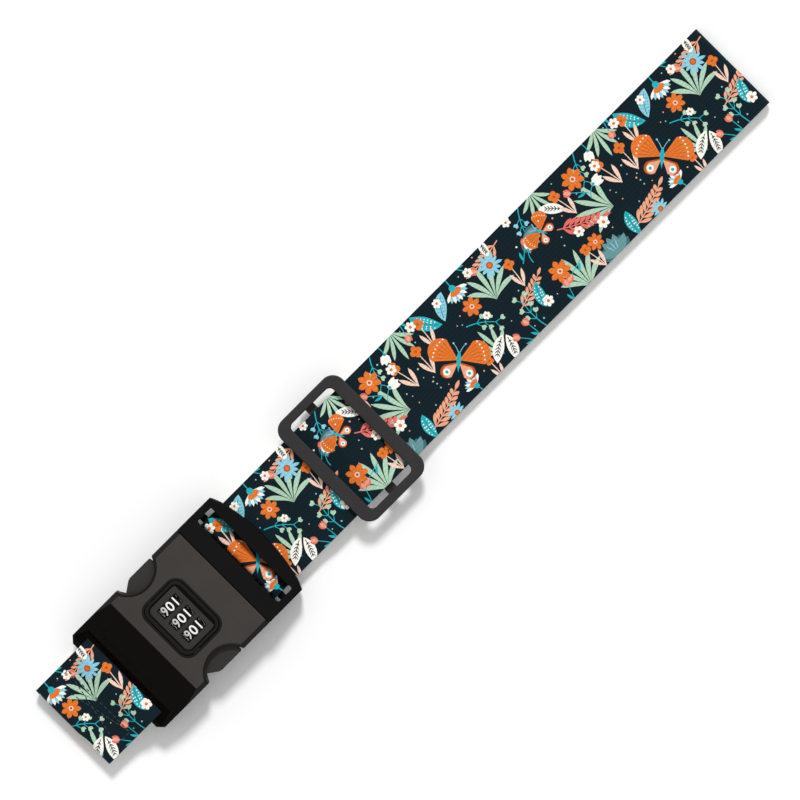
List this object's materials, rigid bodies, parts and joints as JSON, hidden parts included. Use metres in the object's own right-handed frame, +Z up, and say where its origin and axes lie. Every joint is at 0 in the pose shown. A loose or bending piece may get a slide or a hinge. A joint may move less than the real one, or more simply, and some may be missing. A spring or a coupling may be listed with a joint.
{
  "type": "luggage strap",
  "caption": "Printed webbing luggage strap, closed into its folded loop, with a side-release buckle, number dials on its socket and a rectangular slider.",
  "frame": {"origin": "middle of the footprint, on the surface that the folded strap lies on", "axes": "+X along the strap from the socket half to the plug half, +Y across it, +Z up through the plies"},
  "size_m": [0.45, 0.066, 0.0193],
  "materials": {
    "webbing": "woven polyester, printed on its face",
    "thread": "twisted polyester thread",
    "buckle_plastic": "fine moulded texture",
    "slider_plastic": "fine moulded texture",
    "dial_plastic": "black with white numbers",
    "steel": "bright zinc plated",
    "zinc": "as cast"
  },
  "bodies": {
    "socket": {"socket_shell": "buckle_plastic", "socket_base": "buckle_plastic", "cover_screw_1": "steel", "cover_screw_2": "steel", "cover_screw_3": "steel", "cover_screw_4": "steel", "dial_bezel": "buckle_plastic", "dial_shaft": "steel", "dial_click_spring": "steel", "lock_spring": "steel", "webbing_long_run": "webbing", "webbing_bridge": "webbing", "socket_stitching": "thread"},
    "dial_1": {"dial_wheel_1": "dial_plastic", "code_sleeve_1": "zinc"},
    "dial_2": {"dial_wheel_2": "dial_plastic", "code_sleeve_2": "zinc"},
    "dial_3": {"dial_wheel_3": "dial_plastic", "code_sleeve_3": "zinc"},
    "lock_plate": {"lock_plate": "steel"},
    "reset_button": {"code_reset_button": "buckle_plastic"},
    "plug": {"plug_frame": "buckle_plastic", "webbing_adjuster_loop": "webbing"},
    "arm_left": {"release_arm_left": "buckle_plastic"},
    "arm_right": {"release_arm_right": "buckle_plastic"},
    "slider": {"slider_frame": "slider_plastic", "webbing_live_run": "webbing", "slider_stitching": "thread"}
  },
  "joints": [
    {"name": "plug_slide", "type": "slide", "parent": "socket", "child": "plug", "axis": [1, 0, 0], "range_m": [0, 0.045], "deforming": ["webbing_bridge", "release_arm_left", "release_arm_right"]},
    {"name": "slider_slide", "type": "slide", "parent": "plug", "child": "slider", "axis": [1, 0, 0], "range_m": [-0.03, 0.05], "deforming": ["webbing_bridge", "webbing_adjuster_loop"]},
    {"name": "release_left", "type": "hinge", "parent": "plug", "child": "arm_left", "pos_m": [-0.1244, 0.0234, 0.012], "axis": [0, 0, 1], "range_deg": [0, 7], "stiffness_Nm_per_rad": 0.5},
    {"name": "release_right", "type": "hinge", "parent": "plug", "child": "arm_right", "pos_m": [-0.1244, -0.0234, 0.012], "axis": [0, 0, -1], "range_deg": [0, 7], "stiffness_Nm_per_rad": 0.5},
    {"name": "dial_1_turn", "type": "hinge", "parent": "socket", "child": "dial_1", "pos_m": [-0.1498, 0.0079, 0.0133], "axis": [0, 1, 0], "continuous": true},
    {"name": "dial_2_turn", "type": "hinge", "parent": "socket", "child": "dial_2", "pos_m": [-0.1498, 0, 0.0133], "axis": [0, 1, 0], "continuous": true},
    {"name": "dial_3_turn", "type": "hinge", "parent": "socket", "child": "dial_3", "pos_m": [-0.1498, -0.0079, 0.0133], "axis": [0, 1, 0], "continuous": true},
    {"name": "lock_plate_slide", "type": "slide", "parent": "socket", "child": "lock_plate", "axis": [-1, 0, 0], "range_m": [0, 0.0026], "deforming": ["lock_spring"]},
    {"name": "reset_press", "type": "slide", "parent": "socket", "child": "reset_button", "axis": [0, 0, 1], "range_m": [0, 0.0012], "stiffness_N_per_m": 300}
  ],
  "couplings": [
    {"joint": "lock_plate_slide", "follows": "release_left", "m_per_rad": 0.02}
  ]
}
